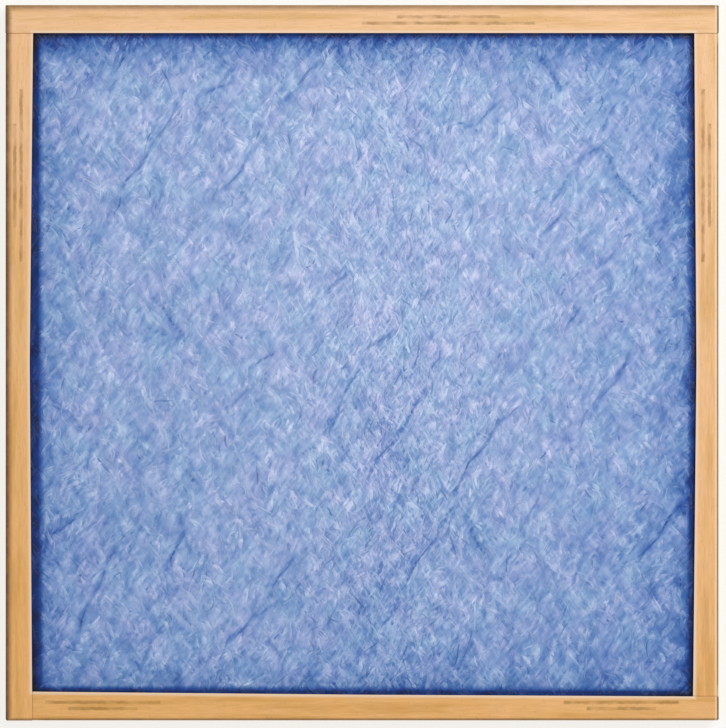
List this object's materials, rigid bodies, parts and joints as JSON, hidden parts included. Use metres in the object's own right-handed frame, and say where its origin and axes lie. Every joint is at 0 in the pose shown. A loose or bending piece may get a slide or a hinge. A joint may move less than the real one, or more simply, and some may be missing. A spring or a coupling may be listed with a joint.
{
  "type": "fiberglass furnace filter",
  "caption": "Flat square furnace air filter: a blue spun-glass pad held in a folded brown paperboard frame with lapped corners, for a slide-in filter slot.",
  "frame": {"origin": "middle of the back face that the filter lies on, on the plane of the back flanges' outer surface", "axes": "+Z from the back face to the front face that air enters, +X towards the right side and +Y towards the top side as the picture shows them"},
  "size_m": [0.4952, 0.497, 0.0222],
  "materials": {
    "paperboard": "uncoated brown paperboard, folded, with cut edges",
    "spun_glass": "blue spun-glass strands, open and matt with a slight glint"
  },
  "bodies": {
    "root": {"frame": "paperboard", "media_pad": "spun_glass"}
  },
  "joints": []
}
